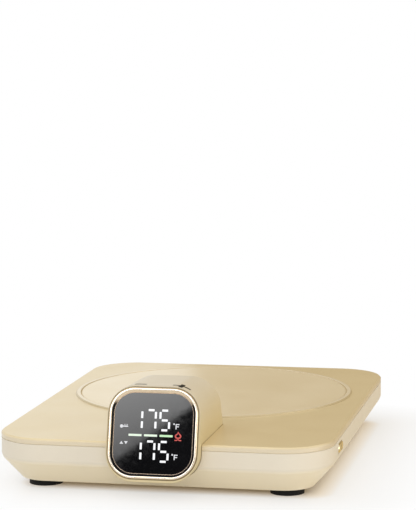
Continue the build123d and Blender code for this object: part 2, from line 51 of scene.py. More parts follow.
# Named places and sizes are in millimetres. Those of the floor and the lamps are in metres, like
# the frame, and so are the scales of the textures, which count repeats in a metre.
MM = 0.001
UP = Vector((0.0, 0.0, 1.0))

# ------------------------------------------------------------------ camera
# In front, a little to the right and a little above. It aims at a point above the object, which
# so stands low in the picture. Angles are in degrees, and the range that it sees is in metres.
CAMERA_AZIMUTH = 11.92
CAMERA_ELEVATION = 6.84
CAMERA_ROLL = -0.35
CAMERA_DISTANCE = 801.79
CAMERA_TARGET = Vector((2.2, 3.75, 74.79))
CAMERA_LENS = 149.76
CAMERA_SENSOR = 36.0
CAMERA_SEES = (0.05, 50.0)


def camera_back():
    """Direction from the target to the camera."""
    azimuth = math.radians(CAMERA_AZIMUTH)
    elevation = math.radians(CAMERA_ELEVATION)
    level = math.cos(elevation)
    return Vector((math.sin(azimuth) * level, -math.cos(azimuth) * level, math.sin(elevation)))


def make_camera():
    data = bpy.data.cameras.new("camera")
    data.lens = CAMERA_LENS
    data.sensor_width = CAMERA_SENSOR
    data.clip_start, data.clip_end = CAMERA_SEES
    camera = bpy.data.objects.new("camera", data)
    bpy.context.scene.collection.objects.link(camera)
    back = camera_back()
    right = UP.cross(back).normalized()
    up = back.cross(right)
    turn = math.radians(CAMERA_ROLL)
    rolled_right = right * math.cos(turn) + up * math.sin(turn)
    rolled_up = up * math.cos(turn) - right * math.sin(turn)
    axes = Matrix((rolled_right, rolled_up, back)).transposed().to_4x4()
    place = (CAMERA_TARGET + back * CAMERA_DISTANCE) * MM
    camera.matrix_world = Matrix.Translation(place) @ axes
    bpy.context.scene.camera = camera


# ------------------------------------------------------------------ colours and their places
def colour(red, green, blue):
    """A screen colour, 0 to 255, in the linear values that a shader takes, by the sRGB curve."""
    def linear(level):
        share = level / 255
        return share / 12.92 if share <= 0.04045 else ((share + 0.055) / 1.055) ** 2.4
    return (linear(red), linear(green), linear(blue), 1.0)


WHITE = (1.0, 1.0, 1.0, 1.0)
CREAM = colour(228, 219, 201)
CREAM_SHADE = colour(225, 215, 196)
# Painted light: the case's skirt is painted warmer and yellower than the wall above it, for the warm
# light that the floor throws up on it and the paler sheen on the wall.
SKIRT_PAINTED_WARM_LIGHT = colour(235, 222, 193)
POD_CREAM = colour(221, 209, 184)
POD_CREAM_SHADE = colour(217, 204, 178)
# Painted shade and painted warm reflection: the pod turns darker and yellower towards its bottom.
POD_PAINTED_LOW_SHADE = colour(215, 198, 155)
CHAMPAGNE = colour(230, 212, 170)
CHAMPAGNE_SHADE = colour(226, 207, 164)
# Painted light: the cover's side band, blending into its top along the bevel, is painted paler and
# greyer than the top, because the light falls differently on the band and the top.
COVER_EDGE_PAINTED_LIGHT = colour(222, 208, 181)
# Painted light: the cover's downward seam bevel is painted lighter, against the shade that falls on
# it.
SEAM_PAINTED_LIGHT = colour(246, 236, 210)
# Painted highlight: the raised collar round the plate is painted paler than the cover, as it catches
# the light.
COLLAR_PAINTED_HIGHLIGHT = colour(236, 222, 192)
# Painted shade: the collar's outer bevel is painted darker, as a shadow line along its edge.
COLLAR_EDGE_PAINTED_SHADE = colour(206, 189, 150)
PLATE_CREAM = colour(239, 224, 191)
PLATE_CREAM_SHADE = colour(235, 219, 184)

# Heights, lower and upper, between which a colour turns into the one below it: the painted light and
# shade above.
SKIRT_TURN = (9.4, 10.8)
COVER_EDGE_TURN = (18.0, 18.7)
SEAM_TURN = (17.02, 17.1)
POD_TURN = (22.0, 37.0)
# Radii of the collar's inner edge, of its bevel and of its outer edge, which bound its painted
# highlight and painted shade.
COLLAR_INNER = 51.9
COLLAR_BEVEL = 53.3
COLLAR_OUTER = 53.7
BAND_SOFT = 0.1
# The bezel's inner slope carries a painted bright reflection of metal above this height over the
# face's centre, and a painted dark reflection below it.
SLOPE_PAINTED_GLINT_ABOVE = 10.2
SLOPE_PAINTED_GLINT_SOFT = 0.8

# The pod's face: a plane that leans back, measured from its centre to the right and up.
FACE_TILT = math.radians(14.6)
FACE_CENTRE = Vector((0.0, -79.75, 23.05))
FACE_OUT = Vector((0.0, -math.cos(FACE_TILT), math.sin(FACE_TILT)))
FACE_UP = Vector((0.0, math.sin(FACE_TILT), math.cos(FACE_TILT)))
FACE_RIGHT = Vector((1.0, 0.0, 0.0))


# ------------------------------------------------------------------ materials
BEVEL_SAMPLES = 6


class Finish:
    """A node material with a Principled shader and a few ready chains of nodes."""

    def __init__(self, name):
        self.material = bpy.data.materials.new(name)
        self.material.use_nodes = True
        self.tree = self.material.node_tree
        self.shader = self.tree.nodes["Principled BSDF"]
        self.place = self.add("ShaderNodeTexCoord").outputs["Object"]

    def add(self, kind, **settings):
        node = self.tree.nodes.new(kind)
        for key, value in settings.items():
            setattr(node, key, value)
        return node

    def give(self, socket, value):
        """A socket takes the output of another node, or a plain value."""
        if isinstance(value, bpy.types.NodeSocket):
            self.tree.links.new(value, socket)
        else:
            socket.default_value = value

    def set(self, **values):
        """Sockets of the shader by their names, with _ for a space."""
        for key, value in values.items():
            self.give(self.shader.inputs[key.replace("_", " ")], value)

    def show(self, surface):
        """The surface that the material shows in place of its Principled shader."""
        self.give(self.tree.nodes["Material Output"].inputs["Surface"], surface)

    def combine(self, operation, *values):
        """Arithmetic of plain values."""
        node = self.add("ShaderNodeMath", operation=operation)
        for socket, value in zip(node.inputs, values):
            self.give(socket, value)
        return node.outputs["Value"]

    def combine_vectors(self, operation, *values, result="Vector"):
        node = self.add("ShaderNodeVectorMath", operation=operation)
        for socket, value in zip(node.inputs, values):
            self.give(socket, value)
        return node.outputs[result]

    def parts(self, vector):
        """Outputs X, Y and Z of a vector."""
        node = self.add("ShaderNodeSeparateXYZ")
        self.give(node.inputs["Vector"], vector)
        return node.outputs

    def stretched(self, scale):
        """Object coordinates with a scale of their own along each axis."""
        mapping = self.add("ShaderNodeMapping")
        self.give(mapping.inputs["Vector"], self.place)
        self.give(mapping.inputs["Scale"], scale)
        return mapping.outputs["Vector"]

    def noise(self, scale, detail=2.0, roughness=0.5, place=None):
        node = self.add("ShaderNodeTexNoise")
        self.give(node.inputs["Vector"], place or self.place)
        self.give(node.inputs["Scale"], scale)
        self.give(node.inputs["Detail"], detail)
        self.give(node.inputs["Roughness"], roughness)
        return node.outputs["Fac"]

    def spread(self, value, low, high, start=0.3, end=0.7):
        """A value moved from start..end, which noise mostly fills, to low..high."""
        node = self.add("ShaderNodeMapRange")
        self.give(node.inputs["Value"], value)
        self.give(node.inputs["From Min"], start)
        self.give(node.inputs["From Max"], end)
        self.give(node.inputs["To Min"], low)
        self.give(node.inputs["To Max"], high)
        return node.outputs["Result"]

    def uneven(self, low, high, scale, detail=2.0):
        """A value that wanders between low and high."""
        return self.spread(self.noise(scale, detail), low, high)

    def blend(self, factor, first, second):
        """Two colours, or outputs of colour, mixed by a factor."""
        node = self.add("ShaderNodeMix", data_type="RGBA")
        self.give(node.inputs["Factor"], factor)
        self.give(node.inputs[6], first)
        self.give(node.inputs[7], second)
        return node.outputs[2]

    def clouds(self, first, second, scale, detail=3.0):
        """Two colours in soft clouds."""
        return self.blend(self.uneven(0.0, 1.0, scale, detail), first, second)

    def bump(self, height, depth, soft_edge=0.0):
        """Bump by a height of that depth, over edges softened by a radius, in millimetres."""
        node = self.add("ShaderNodeBump")
        self.give(node.inputs["Distance"], depth * MM)
        self.give(node.inputs["Height"], height)
        if soft_edge:
            edge = self.add("ShaderNodeBevel", samples=BEVEL_SAMPLES)
            self.give(edge.inputs["Radius"], soft_edge * MM)
            self.give(node.inputs["Normal"], edge.outputs["Normal"])
        self.set(Normal=node.outputs["Normal"])

    def glow(self, tint, level):
        node = self.add("ShaderNodeEmission")
        self.give(node.inputs["Color"], tint)
        self.give(node.inputs["Strength"], level)
        return node.outputs["Emission"]

    def fade(self, factor, first, second):
        """Two surfaces mixed by a factor."""
        node = self.add("ShaderNodeMixShader")
        self.give(node.inputs["Fac"], factor)
        self.give(node.inputs[1], first)
        self.give(node.inputs[2], second)
        return node.outputs["Shader"]

    def clear_behind(self, surface):
        """A surface that is seen from its front alone."""
        behind = self.add("ShaderNodeNewGeometry").outputs["Backfacing"]
        return self.fade(behind, surface, self.add("ShaderNodeBsdfTransparent").outputs["BSDF"])


def painted_light_band_mask(look, inner, outer):
    """One between two radii about the plate's middle, falling to nought within a soft edge; it masks
    painted light.
    """
    low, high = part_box("warming_plate")
    middle = (low + high) / 2
    level = look.combine_vectors("MULTIPLY", look.place, (1.0, 1.0, 0.0))
    radius = look.combine_vectors("DISTANCE", level, (middle.x, middle.y, 0.0), result="Value")
    return look.combine(
        "MULTIPLY",
        look.spread(radius, 0.0, 1.0, (inner - BAND_SOFT) * MM, inner * MM),
        look.spread(radius, 1.0, 0.0, outer * MM, (outer + BAND_SOFT) * MM),
    )


def moulded(name, tint, shade, rough, grain=0.004, soft_edge=0.35, grain_scale=5200.0,
            metallic=0.0, painted_light_layers=(), painted_light_bands=()):
    """Fine-sparked moulded plastic: slight clouds of colour, faint grain, soft edges.

    Each layer is a colour of painted light and shade, and the two heights between which the colour
    turns into it downwards. Each band is a colour of painted light and shade, and the two radii
    about the plate that it fills.
    """
    look = Finish(name)
    paint = look.clouds(tint, shade, scale=38.0)
    if painted_light_layers:
        height = look.parts(look.place)["Z"]
    for painted_layer_tint, (bottom, top) in painted_light_layers:
        low = look.spread(height, 1.0, 0.0, bottom * MM, top * MM)
        paint = look.blend(low, paint, painted_layer_tint)
    for painted_band_tint, inner, outer in painted_light_bands:
        paint = look.blend(painted_light_band_mask(look, inner, outer), paint, painted_band_tint)
    swing = 0.03
    roughness = look.uneven(rough - swing, rough + swing, scale=60.0)
    look.set(Base_Color=paint, Roughness=roughness, IOR=1.5, Metallic=metallic)
    look.bump(look.noise(grain_scale, roughness=0.6), grain, soft_edge)
    return look.material


def bezel_inner(name, dark, bright, bright_shade):
    """Polished inner slope of the bezel with painted reflections: black, and bright metal along its
    top.
    """
    look = Finish(name)
    height = look.parts(look.place)["Z"]
    level = FACE_CENTRE.z + SLOPE_PAINTED_GLINT_ABOVE
    top = look.spread(height, 0.0, 1.0,
                      (level - SLOPE_PAINTED_GLINT_SOFT) * MM, (level + SLOPE_PAINTED_GLINT_SOFT) * MM)
    painted_glint = look.clouds(bright, bright_shade, scale=400.0)
    look.set(Base_Color=look.blend(top, dark, painted_glint), Metallic=top,
             Roughness=look.uneven(0.19, 0.26, scale=400.0), Specular_IOR_Level=0.1)
    look.bump(look.noise(1600.0, detail=1.0), depth=0.0008)
    return look.material


def polished_metal(name, tint, shade, rough):
    """Polished plated trim with faint run of the polish."""
    look = Finish(name)
    look.set(Base_Color=look.clouds(tint, shade, scale=220.0), Metallic=1.0,
             Roughness=look.uneven(rough - 0.03, rough + 0.05, scale=900.0, detail=4.0))
    look.bump(look.noise(2600.0), depth=0.0012, soft_edge=0.12)
    return look.material


def brushed_metal(name, tint, shade, rough=0.35, run=(40.0, 3000.0, 3000.0)):
    """Sheet metal with fine lines along one direction."""
    look = Finish(name)
    lines = look.noise(1.0, detail=3.0, roughness=0.6, place=look.stretched(run))
    look.set(Base_Color=look.blend(look.spread(lines, 0.0, 1.0), tint, shade), Metallic=1.0,
             Roughness=look.spread(lines, rough - 0.06, rough + 0.08))
    look.bump(lines, depth=0.004, soft_edge=0.1)
    return look.material


def rubber(name, tint, shade):
    """Dull rubber with a coarse grain."""
    look = Finish(name)
    look.set(Base_Color=look.clouds(tint, shade, scale=900.0, detail=4.0),
             Roughness=look.uneven(0.62, 0.8, scale=2400.0, detail=3.0), Specular_IOR_Level=0.25)
    look.bump(look.noise(4200.0, detail=3.0, roughness=0.7), depth=0.012, soft_edge=0.35)
    return look.material


def circuit_board(name, resist, resist_shade, over_copper):
    """Green solder resist, lighter over the runs of copper."""
    look = Finish(name)
    runs = look.add("ShaderNodeTexBrick")
    look.give(runs.inputs["Vector"], look.place)
    look.give(runs.inputs["Scale"], 260.0)
    look.give(runs.inputs["Mortar Size"], 0.03)
    mask = look.noise(420.0)
    base = look.blend(look.spread(mask, 0.0, 1.0), resist, resist_shade)
    look.set(Base_Color=look.blend(runs.outputs["Fac"], base, over_copper),
             Roughness=look.spread(mask, 0.28, 0.42))
    look.bump(runs.outputs["Fac"], depth=0.03)
    return look.material


def felt(name, tint, shade):
    """Pressed fibres that lie along one direction."""
    look = Finish(name)
    along = look.stretched((700.0, 1900.0, 1900.0))
    fibres = look.noise(1.0, detail=6.0, roughness=0.75, place=along)
    look.set(Base_Color=look.blend(look.spread(fibres, 0.0, 1.0), tint, shade),
             Roughness=0.95, Sheen_Weight=0.3)
    look.bump(fibres, depth=0.12)
    return look.material


def dark_glass(name, tint, shade):
    """Smoked display glass: nearly black, with a very slight unevenness of polish."""
    look = Finish(name)
    look.set(Base_Color=look.clouds(tint, shade, scale=70.0, detail=2.0), IOR=1.62,
             Roughness=look.uneven(0.03, 0.07, scale=500.0, detail=3.0))
    look.bump(look.noise(30.0, detail=1.0), depth=0.0006)
    return look.material


def glowing(name, tint, shade):
    """Lit mark behind the glass, a touch uneven across its length."""
    look = Finish(name)
    look.set(Base_Color=(0.02, 0.02, 0.02, 1.0), Roughness=0.2, Emission_Strength=1.0,
             Emission_Color=look.clouds(tint, shade, scale=700.0, detail=2.0))
    return look.material


def printed(name, tint, shade, rough=0.5):
    """Printed or painted mark with a slightly broken surface."""
    look = Finish(name)
    look.set(Base_Color=look.clouds(tint, shade, scale=1500.0), Specular_IOR_Level=0.12,
             Roughness=look.uneven(rough - 0.05, rough + 0.08, scale=3000.0))
    look.bump(look.noise(5000.0), depth=0.004)
    return look.material


# Satin paint of the cover and the plate, with some metal in it.
SATIN = {"rough": 0.32, "soft_edge": 0.3, "grain_scale": 900.0, "metallic": 0.25}

finishes = {
    # The case's skirt carries painted warm light from the floor.
    "case": moulded("case_plastic", CREAM, CREAM_SHADE, rough=0.40, soft_edge=0.45,
                    painted_light_layers=[(SKIRT_PAINTED_WARM_LIGHT, SKIRT_TURN)]),
    # The cover carries painted light on its band and seam bevel, a painted highlight on its collar
    # and painted shade on the collar's outer bevel.
    "cover": moulded("cover_satin", CHAMPAGNE, CHAMPAGNE_SHADE, grain=0.0008, **SATIN,
                     painted_light_layers=[(COVER_EDGE_PAINTED_LIGHT, COVER_EDGE_TURN), (SEAM_PAINTED_LIGHT, SEAM_TURN)],
                     painted_light_bands=[(COLLAR_PAINTED_HIGHLIGHT, COLLAR_INNER, COLLAR_BEVEL - BAND_SOFT),
                            (COLLAR_EDGE_PAINTED_SHADE, COLLAR_BEVEL, COLLAR_OUTER)]),
    # The pod darkens towards its bottom: painted shade and warm reflection.
    "pod": moulded("pod_plastic", POD_CREAM, POD_CREAM_SHADE, rough=0.44, soft_edge=0.5,
                   painted_light_layers=[(POD_PAINTED_LOW_SHADE, POD_TURN)]),
    "plate": moulded("plate_coating", PLATE_CREAM, PLATE_CREAM_SHADE, grain=0.001, **SATIN),
    "key": polished_metal("key_plating", colour(255, 248, 222), colour(250, 238, 206), 0.2),
    "bezel": polished_metal("bezel_plating", colour(250, 238, 220), colour(244, 229, 206), 0.1),
    # Painted reflections on the bezel's inner slope: black, and bright metal along its top.
    "bezel_inner": bezel_inner("bezel_painted_reflection", colour(8, 7, 7), colour(226, 206, 176),
                               colour(221, 200, 170)),
    "window": dark_glass("window_glass", colour(13, 13, 15), colour(18, 18, 20)),
    "foot": rubber("foot_rubber", colour(6, 6, 6), colour(12, 12, 11)),
    "bush": rubber("bush_rubber", colour(206, 192, 164), colour(196, 181, 152)),
    "film": printed("heater_film", colour(176, 104, 40), colour(156, 88, 30), 0.3),
    "pad": felt("pad_felt", colour(222, 219, 208), colour(204, 200, 188)),
    "steel": brushed_metal("plated_steel", colour(202, 203, 205), colour(178, 180, 183)),
    "sensor": brushed_metal("sensor_case", colour(214, 215, 218), colour(196, 198, 201), 0.25),
    "fuse": moulded("fuse_body", colour(222, 216, 200), colour(214, 206, 188), 0.3),
    "board": circuit_board("solder_resist", colour(14, 74, 44), colour(20, 92, 54),
                           colour(44, 128, 78)),
    "display": moulded("display_body", colour(26, 26, 28), colour(34, 34, 36), 0.3),
    "black_part": moulded("chip_body", colour(30, 30, 32), colour(40, 40, 42), 0.45),
    "relay": moulded("relay_body", colour(34, 52, 104), colour(40, 60, 116), 0.3),
    "film_box": moulded("film_capacitor_body", colour(206, 172, 64), colour(196, 160, 54), 0.35),
    "terminal": moulded("terminal_body", colour(46, 122, 70), colour(40, 110, 62), 0.4),
    "can": brushed_metal("can_sleeve", colour(200, 202, 208), colour(180, 182, 190), 0.25),
    "copper": brushed_metal("choke_wire", colour(196, 120, 78), colour(164, 92, 56), 0.3,
                            run=(3000.0, 3000.0, 260.0)),
    "connector": moulded("connector_body", colour(232, 229, 216), colour(224, 220, 206), 0.4),
    "switch": moulded("switch_body", colour(34, 34, 35), colour(44, 44, 45), 0.4),
    "plunger": moulded("plunger_body", colour(150, 44, 38), colour(136, 38, 32), 0.35),
}


def dress_nodes():
    """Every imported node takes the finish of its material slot."""
    for row in frame["record"]["subparts"]:
        mesh = nodes[row["node"]].data
        mesh.materials.clear()
        mesh.materials.append(finishes[row["material_slot"]])


# ------------------------------------------------------------------ pieces
SMOOTH_BELOW = math.radians(30.0)


def mesh_object(name, mesh_maker):
    """An object whose mesh a bmesh function makes."""
    mesh = bpy.data.meshes.new(name)
    work = bmesh.new()
    mesh_maker(work)
    work.to_mesh(mesh)
    work.free()
    made = bpy.data.objects.new(name, mesh)
    bpy.context.scene.collection.objects.link(made)
    return made


def piece(name, mesh_maker, finish, body="base"):
    """A mesh object with a finish, riding on a body."""
    def faced_outwards(work):
        mesh_maker(work)
        bmesh.ops.recalc_face_normals(work, faces=work.faces)

    made = mesh_object(name, faced_outwards)
    made.data.shade_smooth()
    made.data.set_sharp_from_angle(angle=SMOOTH_BELOW)
    made.data.materials.append(finish)
    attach(made, body)
    return made


def join_rings(work, rings):
    """Faces between closed rings of vertices that follow each other all the way round."""
    for index, ring in enumerate(rings):
        following = rings[(index + 1) % len(rings)]
        for step in range(len(ring)):
            after = (step + 1) % len(ring)
            work.faces.new((ring[step], following[step], following[after], ring[after]))


def on_face(right, up, out):
    return (FACE_CENTRE + FACE_RIGHT * right + FACE_UP * up + FACE_OUT * out) * MM


def rounded_outline(width, height, corner, steps):
    """Points of a rounded rectangle with their outward directions, all the way round."""
    outline = []
    for turn in range(4):
        side_x = 1 if turn in (0, 3) else -1
        side_y = 1 if turn in (0, 1) else -1
        middle = ((width / 2 - corner) * side_x, (height / 2 - corner) * side_y)
        for step in range(steps + 1):
            angle = math.radians(90 * (turn + step / steps))
            away = (math.cos(angle), math.sin(angle))
            point = (middle[0] + corner * away[0], middle[1] + corner * away[1])
            outline.append((point, away))
    return outline


# ------------------------------------------------------------------ bezel
BEZEL_WIDTH = 31.8
BEZEL_HEIGHT = 31.7
BEZEL_CORNER = 9.2
BEZEL_CORNER_STEPS = 14
BEZEL_BAND = 1.1
BEZEL_DEPTH = 2.4
BEZEL_OUTER_SOFT = 0.3
BEZEL_INNER_SOFT = 0.2
# Dull shoulder outside the polished trim, a little lower, and how far the trim laps over it. Its
# darker gold-brown tone is partly painted shade and reflection beside the trim.
SHOULDER = 0.32
SHOULDER_SINK = 0.26
SHOULDER_SOFT = 0.14
SHOULDER_LAP = 0.04
# Slope between the trim and the window, with a thin bead along the glass.
INSERT_BAND = 0.95
WINDOW_RECESS = 0.7
SLOPE_CLEARANCE = 0.02
SLOPE_OUTER_SINK = 0.14
SLOPE_RIM = 0.1
SLOPE_RIM_SINK = 0.12
SLOPE_FOOT = 0.06
BEAD = 0.11
BEAD_LIFT = 0.02
# Strip of painted shade round the bezel, for the shadow in its gap: how far outside it, and how deep
# below its face.
GAP_OUT = (0.02, 0.1)
GAP_SINK = (0.488, 0.505)


def swept_ring(profile):
    """A closed ring with a profile of (distance inwards, distance out of the face)."""
    def make(work):
        outline = rounded_outline(BEZEL_WIDTH, BEZEL_HEIGHT, BEZEL_CORNER, BEZEL_CORNER_STEPS)
        join_rings(work, [
            [
                work.verts.new(on_face(x - away_x * inward, y - away_y * inward, out))
                for inward, out in profile
            ]
            for (x, y), (away_x, away_y) in outline
        ])
    return make


def arc(middle, radius, start, end, steps):
    """Points of an arc, for a profile; angles in degrees from the inward direction."""
    points = []
    for step in range(steps + 1):
        angle = math.radians(start + (end - start) * step / steps)
        points.append((middle[0] + radius * math.cos(angle), middle[1] + radius * math.sin(angle)))
    return points


def make_trim():
    """Polished rounded trim on a darker shoulder, which is partly painted shade."""
    outer = BEZEL_OUTER_SOFT
    inner = BEZEL_INNER_SOFT
    crown = [(SHOULDER, -BEZEL_DEPTH)]
    crown += arc((SHOULDER + outer, -outer), outer, 180, 90, steps=7)
    crown += arc((BEZEL_BAND - inner, -inner), inner, 90, 0, steps=4)
    crown += [(BEZEL_BAND, -BEZEL_DEPTH)]
    trim = piece("bezel_trim", swept_ring(crown), finishes["bezel"])
    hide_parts("bezel_ring")

    lap = SHOULDER + SHOULDER_LAP
    shoulder = [(0.0, -BEZEL_DEPTH)]
    soft = SHOULDER_SOFT
    shoulder += arc((soft, -SHOULDER_SINK - soft), soft, 180, 90, steps=5)
    shoulder += [(lap, -SHOULDER_SINK), (lap, -BEZEL_DEPTH)]
    shoulder_plating_and_shade = brushed_metal("bezel_shoulder_plating_and_shade", colour(158, 138, 104), colour(146, 126, 92), 0.34)
    piece("bezel_shoulder", swept_ring(shoulder), shoulder_plating_and_shade)


def make_slope():
    """Slope inside the trim, painted black as a dark reflection and bright along its top, with its
    thin bead.
    """
    start = BEZEL_BAND + SLOPE_CLEARANCE
    end = BEZEL_BAND + INSERT_BAND
    foot = end - 2 * BEAD
    slope = [
        (start, -WINDOW_RECESS),
        (start, -SLOPE_OUTER_SINK),
        (start + SLOPE_RIM, -SLOPE_RIM_SINK),
        (foot, -WINDOW_RECESS + SLOPE_FOOT),
        (foot, -WINDOW_RECESS),
    ]
    ring = piece("bezel_slope", swept_ring(slope), finishes["bezel_inner"])
    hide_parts("bezel_insert")

    edge = arc((end - BEAD, -WINDOW_RECESS + BEAD_LIFT), BEAD, 180, 0, steps=8)
    rose = polished_metal("bezel_bead_plating", colour(206, 186, 166), colour(190, 168, 148), 0.2)
    piece("bezel_bead", swept_ring(edge), rose)


def make_bezel_gap():
    """Painted shade: a dark strip where the bezel stands in the pod's rim."""
    near, far = GAP_OUT
    high, low = GAP_SINK
    line = [(-near, -low), (-far, -low), (-far, -high), (-near, -high)]
    shade = printed("bezel_gap_painted_shade", colour(96, 82, 60), colour(110, 96, 70), 0.7)
    piece("bezel_gap", swept_ring(line), shade)


# ------------------------------------------------------------------ display
# Places on the glass are measured from the face's centre, to the right and up.
GLASS_LIFT = 0.012
MARK_THICKNESS = 0.015
MARK_CORNER = 0.12
MARK_CORNER_STEPS = 3

READING = "175"
SEGMENTS_OF = {"1": "bc", "5": "acdfg", "7": "abc"}
DIGIT_PITCH = 4.79
DIGIT_WIDTH = 3.15
DIGIT_HEIGHT = 6.75
DIGIT_GAP = 0.66
SEGMENT = 0.74
SEGMENT_REACH = 0.25
LAST_DIGIT_X = 3.93
UPPER_ROW_Y = 4.62
LOWER_ROW_Y = -6.12

# A unit is a degree dot and the three bars of a letter F, each given by its place from the
# unit's middle, its width and its height. The lower unit sits a little further left.
UNIT_X = 8.4
LOWER_UNIT_SHIFT = 0.15
UPPER_UNIT_DROP = 2.0
LOWER_UNIT_DROP = 1.75
UNIT_PLACES = [
    (UNIT_X, UPPER_ROW_Y - UPPER_UNIT_DROP),
    (UNIT_X - LOWER_UNIT_SHIFT, LOWER_ROW_Y - LOWER_UNIT_DROP),
]
DEGREE_DOT = (-1.12, 0.85, 0.6, 0.6)
DEGREE_DOT_CORNER = 0.29
LETTER_BARS = [(-0.38, 0.0, 0.36, 1.85), (0.28, 0.75, 0.96, 0.34), (0.2, -0.02, 0.8, 0.32)]
FINE_CORNER = 0.05

BAR_Y = -0.7
BAR_LENGTH = 4.6
BAR_PITCH = 5.48
BAR_THICKNESS = 0.72
FIRST_BAR_X = -6.3

# Signs at the left: a lying thermometer above an up and a down arrow, round this X.
SIGN_X = -10.2
THERMOMETER_Y = 2.2
BULB_X = -1.0
BULB_SIZE = 1.15
BULB_CORNER = 0.56
BULB_CORNER_STEPS = 4
STEM_X = 0.35
STEM_LENGTH = 2.0
STEM_THICKNESS = 0.42
STEM_CORNER = 0.2
TICK_COUNT = 3
TICK_X = 0.05
TICK_PITCH = 0.5
TICK_Y = 2.75
TICK_WIDTH = 0.2
TICK_HEIGHT = 0.34
ARROW_UP = [(-1.45, -3.9), (-0.15, -3.9), (-0.8, -2.9)]
ARROW_DOWN = [(0.15, -2.95), (0.8, -3.95), (1.45, -2.95)]

FLAME_X = 8.85
FLAME_Y = -0.55
FLAME_OUTLINE = [(0.0, 1.5), (0.35, 0.95), (0.95, 0.5), (1.2, -0.1), (0.85, -0.8), (0.0, -1.0),
                 (-0.85, -0.8), (-1.2, -0.1), (-0.9, 0.5), (-0.35, 0.75)]
FLAME_CORE = 0.58
FLAME_BARS = [(-0.75, -1.5, 0.9, 0.36), (0.0, -1.3, 0.8, 0.34), (0.75, -1.5, 0.9, 0.36)]
FLAME_BAR_CORNER = 0.1


def flat_mark(work, corners):
    """A thin solid mark on the glass from its corners in the face's plane, in order."""
    low = -WINDOW_RECESS + GLASS_LIFT
    bottom = [work.verts.new(on_face(x, y, low)) for x, y in corners]
    top = [work.verts.new(on_face(x, y, low + MARK_THICKNESS)) for x, y in corners]
    work.faces.new(top)
    work.faces.new(list(reversed(bottom)))
    for index in range(len(corners)):
        after = (index + 1) % len(corners)
        work.faces.new((bottom[index], bottom[after], top[after], top[index]))


def rounded_bar(work, middle_x, middle_y, width, height, corner=MARK_CORNER,
                steps=MARK_CORNER_STEPS):
    corners = [point for point, away in rounded_outline(width, height, corner, steps)]
    flat_mark(work, [(middle_x + x, middle_y + y) for x, y in corners])


def digit(work, name, middle_x, middle_y):
    """A seven-segment digit of separate lit bars."""
    half_width = DIGIT_WIDTH / 2
    half_height = DIGIT_HEIGHT / 2
    across = DIGIT_WIDTH - 2 * DIGIT_GAP + SEGMENT_REACH
    upright = half_height - 2 * DIGIT_GAP + SEGMENT_REACH
    places = {
        "a": (0, half_height, across, SEGMENT),
        "g": (0, 0, across, SEGMENT),
        "d": (0, -half_height, across, SEGMENT),
        "f": (-half_width, half_height / 2, SEGMENT, upright),
        "b": (half_width, half_height / 2, SEGMENT, upright),
        "e": (-half_width, -half_height / 2, SEGMENT, upright),
        "c": (half_width, -half_height / 2, SEGMENT, upright),
    }
    for segment in SEGMENTS_OF[name]:
        x, y, width, height = places[segment]
        rounded_bar(work, middle_x + x, middle_y + y, width, height)


def digits(work):
    """The reading in both rows."""
    for row in (UPPER_ROW_Y, LOWER_ROW_Y):
        for index, name in enumerate(READING):
            still_to_come = len(READING) - 1 - index
            digit(work, name, LAST_DIGIT_X - DIGIT_PITCH * still_to_come, row)


def units(work):
    """A small degree dot and a letter F beside each row."""
    for unit_x, unit_y in UNIT_PLACES:
        x, y, width, height = DEGREE_DOT
        rounded_bar(work, unit_x + x, unit_y + y, width, height, DEGREE_DOT_CORNER)
        for x, y, width, height in LETTER_BARS:
            rounded_bar(work, unit_x + x, unit_y + y, width, height, FINE_CORNER)


def signs(work):
    """A lying thermometer beside the upper row, and an up and a down arrow beside the lower."""
    rounded_bar(work, SIGN_X + BULB_X, THERMOMETER_Y, BULB_SIZE, BULB_SIZE, BULB_CORNER,
                BULB_CORNER_STEPS)
    rounded_bar(work, SIGN_X + STEM_X, THERMOMETER_Y, STEM_LENGTH, STEM_THICKNESS, STEM_CORNER)
    for tick in range(TICK_COUNT):
        tick_x = SIGN_X + TICK_X + TICK_PITCH * tick
        rounded_bar(work, tick_x, TICK_Y, TICK_WIDTH, TICK_HEIGHT, FINE_CORNER)
    for arrow in (ARROW_UP, ARROW_DOWN):
        flat_mark(work, [(SIGN_X + x, y) for x, y in arrow])


def flame(work):
    """Outline of a flame round an open core, over three bars."""
    for index, first in enumerate(FLAME_OUTLINE):
        second = FLAME_OUTLINE[(index + 1) % len(FLAME_OUTLINE)]
        flat_mark(work, [
            (FLAME_X + first[0], FLAME_Y + first[1]),
            (FLAME_X + first[0] * FLAME_CORE, FLAME_Y + first[1] * FLAME_CORE),
            (FLAME_X + second[0] * FLAME_CORE, FLAME_Y + second[1] * FLAME_CORE),
            (FLAME_X + second[0], FLAME_Y + second[1]),
        ])
    for x, y, width, height in FLAME_BARS:
        rounded_bar(work, FLAME_X + x, FLAME_Y + y, width, height, FLAME_BAR_CORNER)


def level_bar(index):
    """One of the bars between the two rows."""
    def make(work):
        rounded_bar(work, FIRST_BAR_X + BAR_PITCH * index, BAR_Y, BAR_LENGTH, BAR_THICKNESS)
    return make


def make_display():
    white = glowing("lit_white", WHITE, (0.93, 0.96, 1.0, 1.0))
    grey = glowing("lit_grey", colour(226, 227, 230), colour(212, 214, 218))
    green = glowing("lit_green", colour(236, 250, 232), colour(222, 242, 216))
    deep_green = glowing("lit_deep_green", colour(206, 242, 200), colour(186, 234, 178))
    red = glowing("lit_red", colour(214, 78, 70), colour(200, 66, 60))
    piece("display_digits", digits, white)
    piece("display_units", units, grey)
    piece("display_symbols", signs, grey)
    for index, light in enumerate((green, green, deep_green)):
        piece(f"display_bar_{index + 1}", level_bar(index), light)
    piece("display_flame", flame, red)


# ------------------------------------------------------------------ seal round the plate
SEAL_INNER = 51.61
SEAL_OUTER = 51.89
SEAL_SINK = 0.06
SEAL_CROWN = 0.04
SEAL_DEPTH = 0.8
SEAL_STEPS = 160


